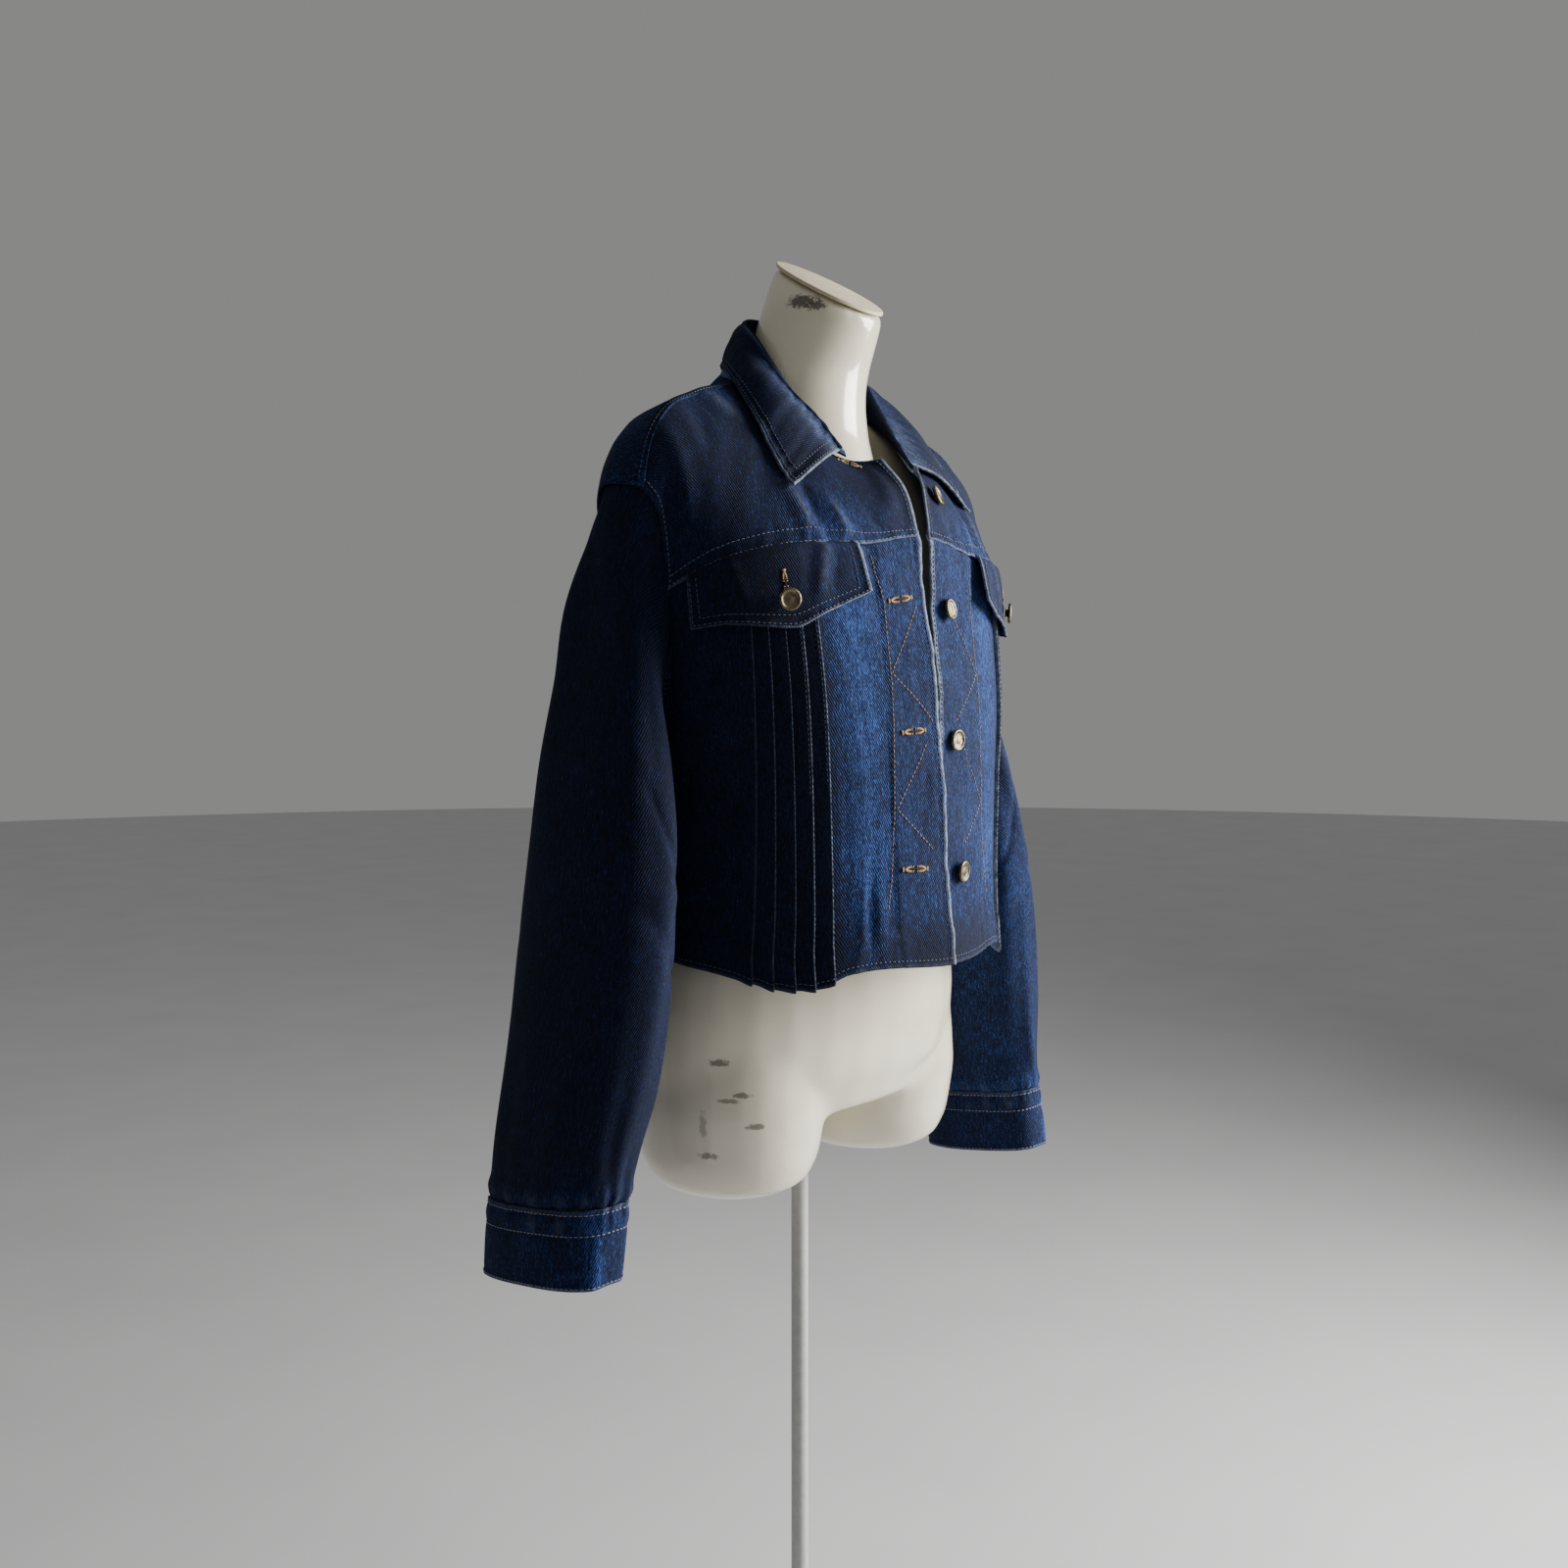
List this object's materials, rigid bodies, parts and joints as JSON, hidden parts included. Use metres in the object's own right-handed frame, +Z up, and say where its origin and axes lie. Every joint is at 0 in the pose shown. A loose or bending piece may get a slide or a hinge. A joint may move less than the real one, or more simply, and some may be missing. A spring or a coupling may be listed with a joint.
{
  "type": "denim jacket on a torso form",
  "caption": "Cropped unbuttoned denim jacket with pointed flaps, knife pleats, yokes and a turned-down collar, worn on a limbless torso form with a pole and round base.",
  "frame": {"origin": "centre of the base plate's underside", "axes": "+Z up, -Y the way the figure faces, +X the wearer's left"},
  "size_m": [0.607, 0.35, 1.5243],
  "materials": {
    "denim": "indigo twill with pale worn edges",
    "brass": "antique",
    "ivory": "gloss",
    "cap": "matt",
    "steel": "satin grey"
  },
  "bodies": {
    "root": {"back_panel": "denim", "back_yoke": "denim", "front_panel_right": "denim", "front_panel_left": "denim", "front_yoke_right": "denim", "front_yoke_left": "denim", "flap_right": "denim", "flap_left": "denim", "sleeve_right": "denim", "sleeve_left": "denim", "cuff_right": "denim", "cuff_left": "denim", "collar": "denim", "front_button_1": "brass", "front_button_2": "brass", "front_button_3": "brass", "front_button_4": "brass", "flap_button_right": "brass", "flap_button_left": "brass", "torso_form": "ivory", "neck_cap": "cap", "pole": "steel", "foot_collar": "steel", "base_plate": "steel"}
  },
  "joints": []
}
